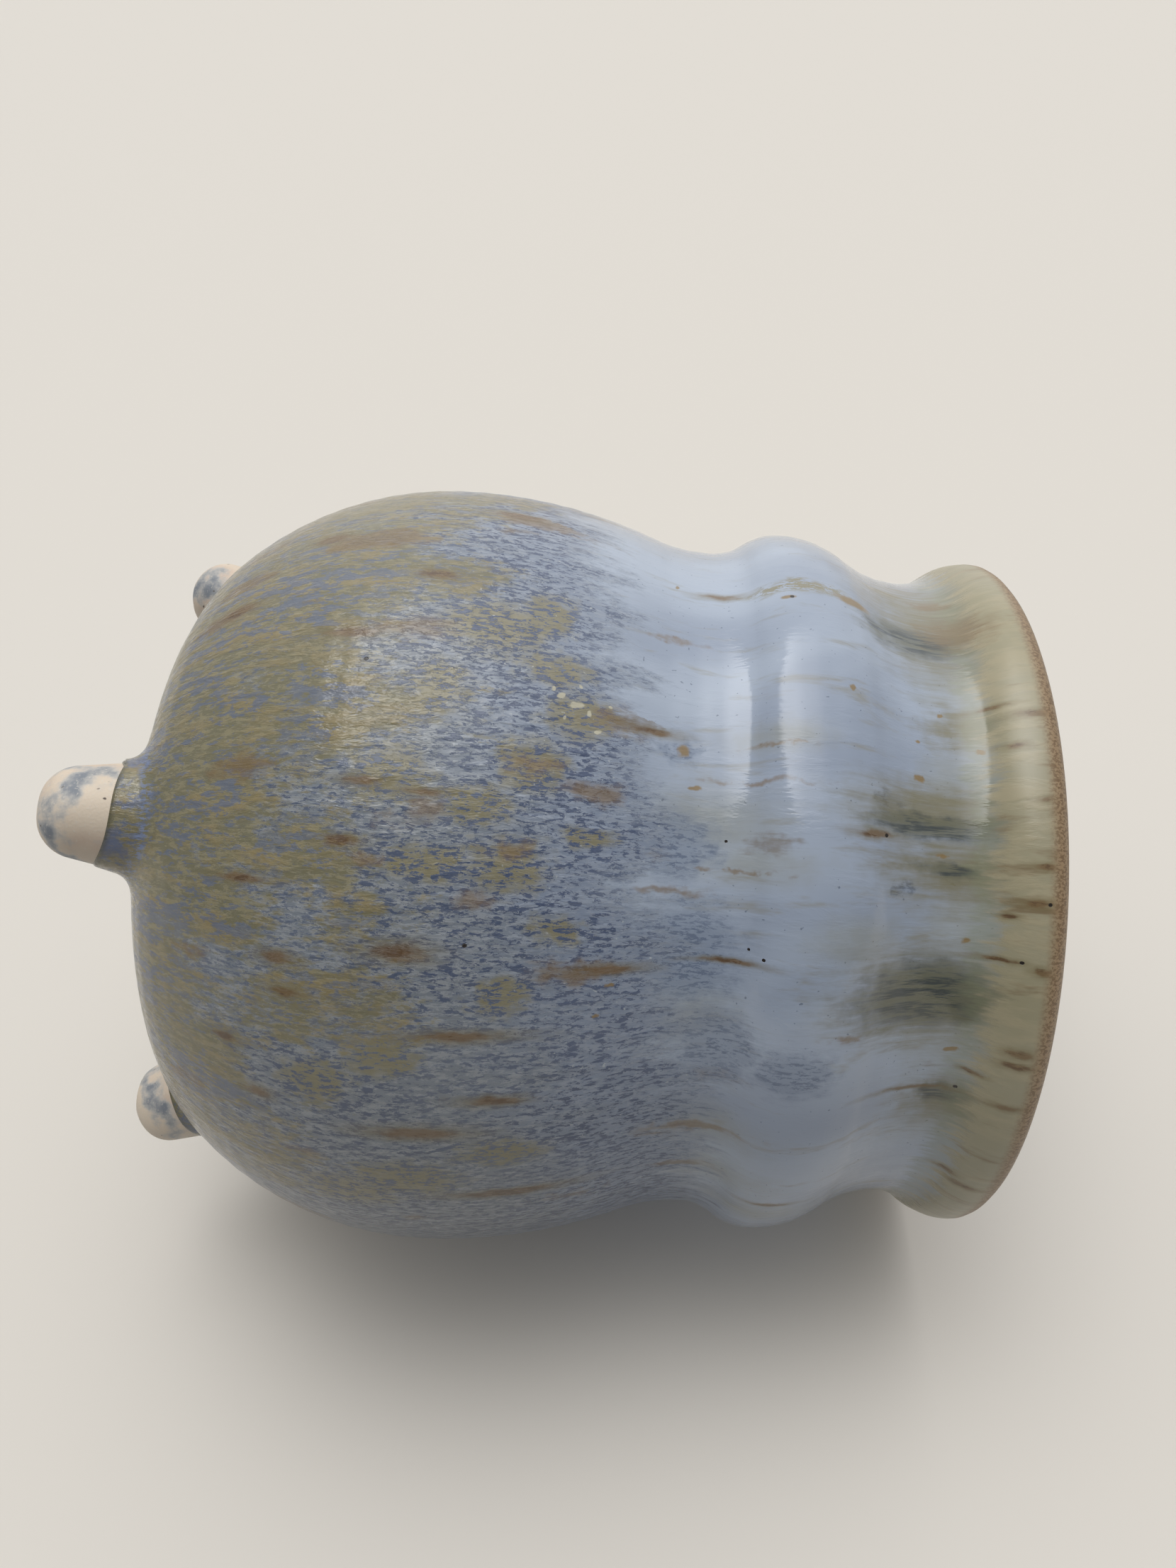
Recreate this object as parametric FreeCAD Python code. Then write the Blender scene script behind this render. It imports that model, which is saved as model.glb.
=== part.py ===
"""Wheel-thrown stoneware planter on four peg feet, glazed inside and out, in millimetres.

The pot stands on z = 0 with its axis on +Z. The front foot points to -Y.
"""

import FreeCAD
import Part

import math
import os

from FreeCAD import Vector

# Profile of the raw clay wall, read upwards from the underside. Each belly, groove, ridge, neck and lip
# is a point where the wall runs straight up, and each rise and step is taken from the point below it.
stand_height = 9.0
base_to_belly = 38.0
belly_radius = 57.5
belly_arc = 48.6
base_corner = 21.0
groove_rise = 38.1
groove_step = 7.4
ridge_rise = 9.7
ridge_step = 3.2
neck_rise = 19.6
neck_step = 6.3
lip_rise = 9.4
lip_step = 3.4

# Share of each swell's height that belongs to its lower arc.
shoulder_share = 0.76
ridge_share = 0.50
neck_share = 0.45
lip_share = 0.50

# Wall, floor and the hole that lets water out.
wall = 4.0
floor = 6.5
floor_corner = 15.0
drain_radius = 5.0

# Glaze coat, and the clay left bare round the drain hole.
glaze = 0.5
drain_margin = 1.5

# Peg feet, set square to the curve of the underside: tapered, domed at the tip and ground flat there.
# The tip radius is where the taper would meet the end, and the crown is the flat middle of the dome.
foot_names = ("front", "right", "back", "left")
first_foot_angle = -90.0
foot_splay = 23.0
foot_tip_radius = 5.1
foot_root_radius = 7.3
foot_crown_radius = 0.9
foot_grind = 0.35

# Soft clay coil pressed into the corner between each foot and the pot, and smoothed to a hollow round.
# The glaze runs on over it and ends a little way down the peg.
coil_radius = 2.6
glaze_drop = 0.5

QUARTER_TURN = math.pi / 2
FULL_TURN_DEGREES = 360.0
UP = Vector(0, 0, 1)
ORIGIN = Vector(0, 0, 0)

# A point this near to a surface counts as on it.
TOUCH = 1e-4


class Arc:
    """A round stretch of the profile: centre, radius, start and end angle, all in the r-z half plane.

    side is 1 where the clay is on the centre's side of the arc, and -1 where it is on the other side.
    """

    def __init__(self, centre_r, centre_z, radius, start, end, side=1):
        self.centre_r = centre_r
        self.centre_z = centre_z
        self.radius = radius
        self.start = start
        self.end = end
        self.side = side

    def grown(self, distance):
        """The same stretch, moved outwards from the clay by a distance."""
        radius = self.radius + self.side * distance
        return Arc(self.centre_r, self.centre_z, radius, self.start, self.end, self.side)

    def point(self, share):
        angle = self.start + (self.end - self.start) * share
        r = self.centre_r + self.radius * math.cos(angle)
        return Vector(r, 0, self.centre_z + self.radius * math.sin(angle))

    def edge(self):
        return Part.Arc(self.point(0), self.point(0.5), self.point(1)).toShape()


def base_arcs(radius, belly_z, arc_radius, corner_radius, base_z):
    """A flat base turned up by a corner arc, and the arc above it that ends upright at the belly."""
    centre_r = radius - arc_radius
    reach = arc_radius - corner_radius
    turn = math.asin((belly_z - base_z - corner_radius) / reach)
    corner_r = centre_r + reach * math.cos(turn)
    corner_z = belly_z - reach * math.sin(turn)
    corner = Arc(corner_r, corner_z, corner_radius, -QUARTER_TURN, -turn)
    return [corner, Arc(centre_r, belly_z, arc_radius, -turn, 0)]


def swell_arcs(low_r, low_z, high_r, high_z, share):
    """Two tangent arcs from one upright point to the next. share is the lower arc's part of the chord."""
    step = high_r - low_r
    rise = high_z - low_z
    twice_mean = (step * step + rise * rise) / (2 * abs(step))
    low_radius = share * twice_mean
    high_radius = (1 - share) * twice_mean
    turn = 2 * math.atan2(abs(step), rise)
    if step < 0:
        lower = Arc(low_r - low_radius, low_z, low_radius, 0, turn)
        upper = Arc(high_r + high_radius, high_z, high_radius, math.pi + turn, math.pi, -1)
    else:
        lower = Arc(low_r + low_radius, low_z, low_radius, math.pi, math.pi - turn, -1)
        upper = Arc(high_r - high_radius, high_z, high_radius, -turn, 0)
    return [lower, upper]


belly_z = stand_height + base_to_belly
groove_z = belly_z + groove_rise
ridge_z = groove_z + ridge_rise
neck_z = ridge_z + neck_rise
lip_z = neck_z + lip_rise
floor_z = stand_height + floor

groove_radius = belly_radius - groove_step
ridge_radius = groove_radius + ridge_step
neck_radius = ridge_radius - neck_step
lip_radius = neck_radius + lip_step
lip_centre = lip_radius - wall / 2

upper_arcs = (
    swell_arcs(belly_radius, belly_z, groove_radius, groove_z, shoulder_share)
    + swell_arcs(groove_radius, groove_z, ridge_radius, ridge_z, ridge_share)
    + swell_arcs(ridge_radius, ridge_z, neck_radius, neck_z, neck_share)
    + swell_arcs(neck_radius, neck_z, lip_radius, lip_z, lip_share)
)
outer_arcs = base_arcs(belly_radius, belly_z, belly_arc, base_corner, stand_height) + upper_arcs
inner_arcs = base_arcs(
    belly_radius - wall, belly_z, belly_arc - wall, floor_corner, floor_z
) + [arc.grown(-wall) for arc in upper_arcs]

# The lip's two quarter rounds, split at its crest, where the outer glaze meets the liner.
outer_arcs.append(Arc(lip_centre, lip_z, wall / 2, 0, QUARTER_TURN))
inner_arcs.append(Arc(lip_centre, lip_z, wall / 2, math.pi, QUARTER_TURN, -1))

# Every foot's axis starts at the corner arc's centre. A peg is carried into the pot by the wall's
# thickness, and then trimmed to the underside.
corner_arc = outer_arcs[0]
splay = math.radians(foot_splay)
foot_circle = corner_arc.centre_r + corner_arc.centre_z * math.tan(splay)
foot_length = corner_arc.centre_z / math.cos(splay) - base_corner
foot_taper = (foot_root_radius - foot_tip_radius) / (foot_length + foot_grind)
foot_slope = math.hypot(1, foot_taper)
foot_spacing = FULL_TURN_DEGREES / len(foot_names)
glaze_end = foot_length - coil_radius - glaze_drop
peg_top = foot_length + wall


def revolved(edges):
    """A solid of revolution about the Z axis from a closed loop of edges.

    It is turned so that the line where its surface closes lies midway between two feet.
    """
    face = Part.Face(Part.Wire(edges))
    solid = Part.Solid(face.revolve(ORIGIN, UP, FULL_TURN_DEGREES))
    solid.rotate(ORIGIN, UP, first_foot_angle + foot_spacing / 2)
    return solid


def line(start, end):
    return Part.LineSegment(start, end).toShape()


def lines(*points):
    return [line(start, end) for start, end in zip(points, points[1:])]


def chain(arcs):
    return [arc.edge() for arc in arcs]


def backwards(arcs):
    return [Arc(a.centre_r, a.centre_z, a.radius, a.end, a.start, a.side) for a in reversed(arcs)]


def thrown_body():
    """The thrown wall and floor in one piece, open at the lip, with the drain hole through the floor."""
    inside = backwards(inner_arcs)
    hole_top = Vector(drain_radius, 0, floor_z)
    hole_bottom = Vector(drain_radius, 0, stand_height)
    edges = chain(outer_arcs + inside)
    edges += lines(inside[-1].point(1), hole_top, hole_bottom, outer_arcs[0].point(0))
    return revolved(edges)


def filled_pot(grown=0.0):
    """The outside of the pot, filled solid up to the belly and grown by a distance."""
    under = [arc.grown(grown) for arc in outer_arcs[:2]]
    edges = lines(Vector(0, 0, belly_z), Vector(0, 0, under[0].point(0).z), under[0].point(0))
    edges += chain(under)
    edges += lines(under[-1].point(1), Vector(0, 0, belly_z))
    return revolved(edges)


def liner():
    """The glaze inside, from the lip's crest down the wall and over the floor to the drain hole."""
    skin = [arc.grown(-glaze) for arc in inner_arcs]
    edge_radius = drain_radius + drain_margin
    edges = chain(inner_arcs) + lines(inner_arcs[-1].point(1), skin[-1].point(1)) + chain(backwards(skin))
    edges += lines(
        skin[0].point(0),
        Vector(edge_radius, 0, floor_z + glaze),
        Vector(edge_radius, 0, floor_z),
        inner_arcs[0].point(0),
    )
    return revolved(edges)


def upper_coat():
    """The outer glaze from the belly up to the lip's crest."""
    arcs = outer_arcs[2:]
    skin = [arc.grown(glaze) for arc in arcs]
    edges = chain(arcs) + lines(arcs[-1].point(1), skin[-1].point(1)) + chain(backwards(skin))
    edges += lines(skin[0].point(0), arcs[0].point(0))
    return revolved(edges)


def peg_line(height, grown=0.0):
    """A point on the peg's taper at a height above the ground along its axis, or on a coat over it."""
    radius = foot_tip_radius + foot_taper * (height + foot_grind)
    return Vector(radius + grown * foot_slope, 0, height)


def upright_peg():
    """The peg on its own axis, with a domed tip that passes the ground by what is ground off it.

    The dome is the arc that touches both the flat crown and the taper.
    """
    tip_z = -foot_grind
    dome_radius = (foot_tip_radius - foot_crown_radius) / (foot_slope - foot_taper)
    dome = Arc(foot_crown_radius, tip_z + dome_radius, dome_radius, -QUARTER_TURN, -math.atan(foot_taper))
    edges = lines(Vector(0, 0, peg_top), Vector(0, 0, tip_z), dome.point(0))
    edges += chain([dome])
    edges += lines(dome.point(1), peg_line(peg_top), Vector(0, 0, peg_top))
    return revolved(edges)


def upright_root(grown=0.0):
    """The length of the peg from the glaze's edge up into the pot, or that length with a coat on it."""
    start = peg_line(glaze_end, grown)
    end = peg_line(peg_top, grown)
    edges = lines(Vector(0, 0, peg_top), Vector(0, 0, glaze_end), start, end, Vector(0, 0, peg_top))
    return revolved(edges)


def set_square(shape, index):
    """Leans an upright foot piece out by the splay and turns it to its place round the pot."""
    placed = shape.copy()
    placed.rotate(ORIGIN, Vector(0, 1, 0), -foot_splay)
    placed.translate(Vector(foot_circle, 0, 0))
    placed.rotate(ORIGIN, UP, first_foot_angle + index * foot_spacing)
    return placed


def above_ground(shape):
    """What is left of a piece once everything below z = 0 is ground away."""
    size = shape.BoundBox.DiagonalLength
    centre = shape.BoundBox.Center
    block = Part.makeBox(2 * size, 2 * size, size, Vector(centre.x - size, centre.y - size, -size))
    return shape.cut(block)


def joined(pot, roots):
    """The pot with the roots of its feet, as one solid with sharp corners."""
    return pot.multiFuse(roots).Solids[0]


def rolled(solid, pot, roots, radius):
    """The same solid with a hollow round of a radius in every corner where a root meets the pot."""
    corners = []
    for edge in solid.Edges:
        middle = edge.valueAt((edge.FirstParameter + edge.LastParameter) / 2)
        on_root = any(root.isInside(middle, TOUCH, True) for root in roots)
        if on_root and pot.isInside(middle, TOUCH, True):
            corners.append(edge)
    return solid.makeFillet(radius, corners)


def single_solid(shape, name):
    """The one solid of a shape, or an error that names the piece."""
    if len(shape.Solids) != 1:
        raise ValueError(f"{name} has {len(shape.Solids)} solids")
    solid = shape.Solids[0]
    if not solid.isValid():
        raise ValueError(f"{name} is not a valid solid")
    return solid


def build():
    places = range(len(foot_names))
    pot = filled_pot()
    coated_pot = filled_pot(glaze)
    roots = [set_square(upright_root(), place) for place in places]
    coated_roots = [set_square(upright_root(glaze), place) for place in places]

    sharp_form = joined(pot, roots)
    bare_form = rolled(sharp_form, pot, roots, coil_radius)
    coated_form = joined(coated_pot, coated_roots)
    coated_form = rolled(coated_form, coated_pot, coated_roots, coil_radius - glaze)

    pieces = {"thrown_body": thrown_body(), "liner_glaze": liner()}
    coils = bare_form.cut(sharp_form).Solids
    for place, name in enumerate(foot_names):
        foot = above_ground(set_square(upright_peg(), place).cut(pot))
        middle = foot.CenterOfGravity
        pieces[f"foot_{name}"] = foot
        pieces[f"luting_coil_{name}"] = min(
            coils, key=lambda coil: coil.CenterOfMass.distanceToPoint(middle)
        )

    drain = Part.makeCylinder(drain_radius + drain_margin, belly_z)
    lower_coat = coated_form.cut(bare_form).cut(drain)
    pieces["outer_glaze"] = lower_coat.fuse(upper_coat()).removeSplitter()
    return {name: single_solid(shape, name) for name, shape in pieces.items()}


os.makedirs("parts", exist_ok=True)
for piece_name, piece in build().items():
    piece.exportStep(f"parts/{piece_name}.step")
    print(f"{piece_name:22s} {piece.Volume:10.1f} mm3")
print(f"feet on a circle of radius {foot_circle:.2f}, each {foot_length:.2f} long")
print(f"lip crest at {lip_z + wall / 2 + glaze:.2f}")
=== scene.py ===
import bpy
import numpy as np
from mathutils import Matrix, Vector


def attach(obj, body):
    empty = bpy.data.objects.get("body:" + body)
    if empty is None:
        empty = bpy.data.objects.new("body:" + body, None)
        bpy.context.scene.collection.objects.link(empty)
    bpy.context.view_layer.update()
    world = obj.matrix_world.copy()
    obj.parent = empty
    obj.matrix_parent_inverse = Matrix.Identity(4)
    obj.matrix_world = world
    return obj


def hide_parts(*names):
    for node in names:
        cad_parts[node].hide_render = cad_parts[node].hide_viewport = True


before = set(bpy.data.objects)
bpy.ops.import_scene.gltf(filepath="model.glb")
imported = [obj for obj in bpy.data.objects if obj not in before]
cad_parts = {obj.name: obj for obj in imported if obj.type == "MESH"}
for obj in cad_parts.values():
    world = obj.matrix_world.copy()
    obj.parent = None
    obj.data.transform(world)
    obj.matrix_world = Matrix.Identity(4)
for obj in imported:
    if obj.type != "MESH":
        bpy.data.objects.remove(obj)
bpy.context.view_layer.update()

# The thrown body: pale stoneware, thrown on the wheel in one piece, dried, trimmed and drilled.
# Glaze covers nearly all of it, so bare clay shows only in and around the drain hole.
# The luting coils are the same clay, smoothed into the corners round the feet and glazed over.

# Sizes are in millimetres, and become metres where a mesh, a material or the camera is made.
MM = 0.001
PER_METRE = 1000.0


def linear(shade):
    """An sRGB hex colour as linear red, green and blue, with alpha 1."""
    parts = np.array([int(shade[i : i + 2], 16) for i in (1, 3, 5)]) / 255
    parts = np.where(parts <= 0.04045, parts / 12.92, ((parts + 0.055) / 1.055) ** 2.4)
    return (*parts.tolist(), 1.0)


def add_node(tree, kind, inputs=(), output=0, **settings):
    """Adds a node with its settings, and gives one of its outputs.

    An input that is given a socket is linked to it, and any other input is set.
    """
    made = tree.nodes.new(f"ShaderNode{kind}")
    for name, value in settings.items():
        setattr(made, name, value)
    for key, value in dict(inputs).items():
        if isinstance(value, bpy.types.NodeSocket):
            tree.links.new(value, made.inputs[key])
        else:
            made.inputs[key].default_value = value
    return made.outputs[output]


def new_material(name):
    """A new material, its node tree and its shader."""
    material = bpy.data.materials.new(name)
    material.use_nodes = True
    return material, material.node_tree, material.node_tree.nodes["Principled BSDF"]


# Bare stoneware fired hard: dry and faintly pink, with iron grains, and grey-blue bruises where glaze was
# sponged off, ringed by a pale grey film that is partly painted sheen. The patterns are shifted to bring
# bruises to one side of the front foot.
stoneware, tree, shader = new_material("bare_stoneware")
clay_shift = (1.8 * MM, -1.15 * MM, 0.0)
place = add_node(tree, "TexCoord", output="Object")
place = add_node(tree, "Mapping", {"Vector": place, "Location": clay_shift})

# Each pattern of the clay: its size in millimetres, and the detail of the noise.
clay_patterns = {}
for name, size, detail in [("blush", 9.0, 2), ("bruise", 4.6, 5), ("grain", 1.1, 1), ("tooth", 0.35, 3)]:
    noise = {"Vector": place, "Scale": PER_METRE / size, "Detail": detail}
    clay_patterns[name] = add_node(tree, "TexNoise", noise)

# Its colours, one over the other: where the pattern starts to show each of them, and where it shows in full.
clay = linear("#d9cab6")
for name, bare, full, shade in [
    ("blush", 0.42, 0.70, "#cab3a0"),
    # A pale grey film round the bruises, partly painted sheen.
    ("bruise", 0.49, 0.62, "#bab7b2"),
    ("bruise", 0.55, 0.70, "#7b8189"),
    ("tooth", 0.55, 0.85, "#d8d1c6"),
    ("grain", 0.71, 0.78, "#55483e"),
]:
    limits = {0: clay_patterns[name], 1: bare, 2: full}
    cover = add_node(tree, "MapRange", limits, interpolation_type="SMOOTHSTEP")
    clay = add_node(tree, "Mix", {0: cover, 6: clay, 7: linear(shade)}, 2, data_type="RGBA")
tooth_depth = 0.06
tooth_relief = {"Height": clay_patterns["tooth"], "Distance": tooth_depth * MM, "Strength": 0.7}
tree.links.new(clay, shader.inputs["Base Color"])
tree.links.new(add_node(tree, "Bump", tooth_relief), shader.inputs["Normal"])
shader.inputs["Roughness"].default_value = 0.55
shader.inputs["IOR"].default_value = 1.5

foot_names = ("front", "right", "back", "left")
for node in ["thrown_body"] + [f"luting_coil_{name}" for name in foot_names]:
    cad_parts[node].data.materials.clear()
    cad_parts[node].data.materials.append(stoneware)

# The feet: four tapered pegs of the same clay, rolled by hand, luted on square to the underside and left
# bare. The tips were dabbed round with a finger and then ground flat, so that the pot stands steady.

foot_splay = np.radians(23.0)
foot_circle = 43.38
foot_length = 11.59
foot_grind = 0.35
foot_tip_radius = 5.1
foot_root_radius = 7.3
foot_crown = 0.9
crown_core = foot_crown / 3
foot_taper = (foot_root_radius - foot_tip_radius) / (foot_length + foot_grind)
foot_slope = np.hypot(1, foot_taper)
foot_buried = 3.0
foot_columns = 64
dome_rows = 26
taper_rows = 24
sharp_turn = np.radians(55)

# Rolled by hand, a peg is a hair fuller than drawn, with two and three slow waves round it. Depths are shares
# of its radius, and the shifts turn the waves from foot to foot.
foot_fullness = 1.01
oval_depth = 0.016
oval_shift = 1.7
lobe_depth = 0.010
lobe_start = 0.8
lobe_shift = 2.3
lobe_twist = 0.2


def turn_to_foot(points, index):
    """Points of a foot on the +X side, turned round the pot to the place of one of the feet."""
    angle = np.radians(-90 + 90 * index)
    x, y, z = np.moveaxis(points, -1, 0)
    return np.stack([x * np.cos(angle) - y * np.sin(angle), x * np.sin(angle) + y * np.cos(angle), z], -1)


def peg_points(height, radius, turn):
    """Points round a leaning peg: up its axis by a height from the ground, then out by a radius at a turn.

    The axis stands on the foot circle and leans in by the splay; turn 0 points away from the pot.
    """
    along = np.array([-np.sin(foot_splay), 0, np.cos(foot_splay)])
    outward = np.array([np.cos(foot_splay), 0, np.sin(foot_splay)])
    sideways = np.array([0, 1.0, 0])
    height, radius, turn = np.broadcast_arrays(height, radius, turn)
    arm = np.cos(turn)[..., None] * outward + np.sin(turn)[..., None] * sideways
    return np.array([foot_circle, 0, 0]) + height[..., None] * along + radius[..., None] * arm


def peg_radius(height):
    """The radius of the peg's taper at a height along its axis."""
    return foot_tip_radius + foot_taper * (height + foot_grind)


def ring_faces(rows, columns, closed):
    """Quads between neighbouring rings of a grid; closed also joins the last ring to the first."""
    row = np.arange(rows if closed else rows - 1)[:, None]
    column = np.arange(columns)[None, :]
    above, beside = (row + 1) % rows, (column + 1) % columns
    lower, upper = row * columns, above * columns
    corners = [lower + column, lower + beside, upper + beside, upper + column]
    return np.stack(np.broadcast_arrays(*corners), -1).reshape(-1, 4)


def add_piece(name, points, faces, material, slot, nodes, **attributes):
    """A smooth mesh from points in millimetres, riding on the pot in place of CAD nodes.

    Each attribute has one number or one vector for every point.
    """
    mesh = bpy.data.meshes.new(name)
    mesh.from_pydata((points.reshape(-1, 3) * MM).tolist(), [], faces)
    for key, values in attributes.items():
        kind, field = ("FLOAT_VECTOR", "vector") if values.shape[-1] == 3 else ("FLOAT", "value")
        mesh.attributes.new(key, kind, "POINT").data.foreach_set(field, values.astype(np.float32).ravel())
    mesh.shade_smooth()
    mesh.set_sharp_from_angle(angle=sharp_turn)
    mesh.materials.append(material)
    piece = bpy.data.objects.new(name, mesh)
    bpy.context.scene.collection.objects.link(piece)
    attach(piece, "root")
    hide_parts(*nodes)


def peg_surface(index):
    """A peg as rows of rings: a flat crown, a dome that touches the crown and the taper, then the taper.

    The dome's radius is what is left of the tip's radius outside the crown, over slope less taper. What would
    reach below the ground is ground off.
    """
    dome_radius = (foot_tip_radius - foot_crown) / (foot_slope - foot_taper)
    sweep = np.linspace(-np.pi / 2, -np.arctan(foot_taper), dome_rows)
    dome_rise = dome_radius - foot_grind + dome_radius * np.sin(sweep)
    dome_reach = foot_crown + dome_radius * np.cos(sweep)
    rise = np.linspace(dome_rise[-1], foot_length + foot_buried, taper_rows)[1:]
    height = np.concatenate([dome_rise[:1], dome_rise, rise])[:, None]
    radius = np.concatenate([[crown_core], dome_reach, peg_radius(rise)])[:, None]
    turn = np.linspace(0, 2 * np.pi, foot_columns, endpoint=False)[None, :]
    oval = oval_depth * np.sin(2 * turn + oval_shift * index)
    lobes = lobe_depth * np.sin(3 * turn + lobe_start + lobe_shift * index + lobe_twist * height)
    points = peg_points(height, radius * (foot_fullness + oval + lobes), turn)
    points[..., 2] = np.maximum(points[..., 2], 0)
    return points


for index, name in enumerate(foot_names):
    surface = turn_to_foot(peg_surface(index), index)
    faces = ring_faces(len(surface), foot_columns, False).tolist()
    last_ring = (len(surface) - 1) * foot_columns
    faces += [list(range(foot_columns))[::-1], list(range(last_ring, last_ring + foot_columns))]
    add_piece(f"peg_foot_{name}", surface, faces, stoneware, "stoneware", [f"foot_{name}"])

# The outer glaze: one glassy coat, half a millimetre thick, dipped and poured over the pot. It runs from a
# sponged margin round the drain hole over the belly, shoulder, ridge and neck to the crest of the lip,
# and down on to the roots of the feet, where it ends in a rounded, slanting edge.

glaze = 0.5
wall = 4.0
stand_height = 9.0
floor_height = 15.5
drain_edge = 6.5
belly_arc = 48.6
base_corner = 21.0
floor_corner = 15.0
arc_points = 120
flat_points = 60

# Places where the wall runs straight up: radius and height of the bare clay, and the share of the swell
# from each place to the next that belongs to its lower arc.
belly, groove, ridge, neck, lip = (57.5, 47.0), (50.1, 85.1), (53.3, 94.8), (47.0, 114.4), (50.4, 123.8)
swells = [(belly, groove, 0.76), (groove, ridge, 0.50), (ridge, neck, 0.45), (neck, lip, 0.50)]
lip_centre = np.array([lip[0] - wall / 2, lip[1]])


def arc_line(centre, radius, start, end):
    """Points (radius, height) on an arc between two angles, and the directions away from its centre."""
    angle = np.linspace(start, end, arc_points)
    away = np.stack([np.cos(angle), np.sin(angle)], -1)
    return np.array(centre) + radius * away, away


def swell_line(low, high, share):
    """Two tangent arcs from one upright place to the next, as points and outward normals.

    Both arcs turn by twice the angle whose tangent is step over rise, and their radii add up to the chord
    squared over twice the step.
    """
    step, rise = np.subtract(high, low)
    radius = (step**2 + rise**2) / (2 * abs(step))
    way = np.sign(step)
    turn = np.linspace(0, 2 * np.arctan2(abs(step), rise), arc_points)
    curve = np.stack([way * (1 - np.cos(turn)), np.sin(turn)], -1)
    normal = np.stack([np.cos(turn), -way * np.sin(turn)], -1)
    upper = np.array(high) - (1 - share) * radius * curve
    return np.concatenate([low + share * radius * curve, upper[::-1]]), np.concatenate([normal, normal[::-1]])


def base_line(belly_radius, arc_radius, corner_radius, base_height):
    """A flat base from the drain's margin, a corner arc, and the arc that ends upright at the belly.

    Also gives the corner arc's centre.
    """
    centre_r = belly_radius - arc_radius
    inset = arc_radius - corner_radius
    turn = np.arcsin((belly[1] - base_height - corner_radius) / inset)
    corner = (centre_r + inset * np.cos(turn), belly[1] - inset * np.sin(turn))
    flat_r = np.linspace(drain_edge, corner[0], flat_points)
    flat = np.stack([flat_r, np.full_like(flat_r, base_height)], -1)
    lines = [
        (flat, np.tile([0.0, -1.0], (len(flat), 1))),
        arc_line(corner, corner_radius, -np.pi / 2, -turn),
        arc_line((centre_r, belly[1]), arc_radius, -turn, 0),
    ]
    return lines, corner


def coat_line(lines, side, rows):
    """The clay under a coat on joined lines, at points evenly spaced along the coat's skin.

    side is 1 where the lines' normals point out of the clay, and -1 where they point into it. Also gives the
    normal out of the clay and the way along the skin at every point.
    """
    clay_points = np.concatenate([points for points, normals in lines])
    normals = side * np.concatenate([normals for points, normals in lines])
    skin = clay_points + glaze * normals
    way = np.concatenate([[0], np.cumsum(np.linalg.norm(np.diff(skin, axis=0), axis=1))])
    even = np.linspace(0, way[-1], rows)
    columns = np.concatenate([clay_points, normals], 1).T
    resampled = np.stack([np.interp(even, way, column) for column in columns], -1)
    return resampled[:, :2], resampled[:, 2:], even


def revolve(radius, height, turn):
    """Points of rings: a radius and height for each row or point, at the turns of the columns."""
    radius, height, turn = np.broadcast_arrays(radius, height, turn)
    return np.stack([radius * np.cos(turn), radius * np.sin(turn), height], -1)


# "run" gives the glaze its own coordinates in millimetres: round the pot on a drum of one size, and up along
# the skin, so that streaks follow the way the glaze ran. Under the pot the drum closes to the axis.
drum_radius = 54.0
closing_radius = 34.0


def run_coordinates(radius, turn, way):
    """A place on the drum at a turn, and the way along the skin."""
    return revolve(drum_radius * np.minimum(1, radius / closing_radius), way, turn)


pot_columns = 360
coat_rows = 200
clay_rows = 40
turns = np.linspace(0, 2 * np.pi, pot_columns, endpoint=False)[None, :]


def coat_shell(line, thickness, skin_rows, hidden_rows):
    """A closed coat turned round the pot: its skin in one order of rows, then the clay behind in the other.

    Also gives every point's coordinates on the glaze.
    """
    clay_points, normals, way = line
    profile = (clay_points[:, None, :] + thickness[..., None] * normals[:, None, :])[skin_rows]
    skin = revolve(profile[..., 0], profile[..., 1], turns)
    hidden_radius, hidden_height = clay_points[hidden_rows].T[..., None]
    behind = revolve(hidden_radius, hidden_height, turns)
    rows = np.concatenate([skin_rows, hidden_rows])
    run = run_coordinates(clay_points[rows, 0][:, None], turns, way[rows][:, None])
    return np.concatenate([skin, behind]), run


under_lines, corner_centre = base_line(belly[0], belly_arc, base_corner, stand_height)
outer_lines = under_lines + [swell_line(*swell) for swell in swells]
outer_lines.append(arc_line(lip_centre, wall / 2, 0, np.pi / 2))
outer_line = coat_line(outer_lines, 1, coat_rows)

# The throwing marks are shallow rings that climb one spacing a turn, and the coat is thinner in a few
# broad places. Both only sink into the coat, and both die out at the lip, where the liner meets it.
ring_spacing = 3.4
ring_depth = 0.05
thin_depth = 0.10
thin_start = 0.9
thin_length = 21.0
lip_calm = 6.0
coat_way = outer_line[2][:, None]
lip_fade = np.clip((coat_way[-1] - coat_way) / lip_calm, 0, 1)
rings = 0.5 + 0.5 * np.sin(2 * np.pi * coat_way / ring_spacing - turns)
uneven = 0.5 + 0.5 * np.sin(2 * turns + thin_start) * np.sin(coat_way / thin_length)
coat_thickness = glaze - lip_fade * (ring_depth * rings + thin_depth * uneven)
under_rows = np.linspace(coat_rows - 1, 0, clay_rows).astype(int)
shell, shell_run = coat_shell(outer_line, coat_thickness, np.arange(coat_rows), under_rows)


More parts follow.
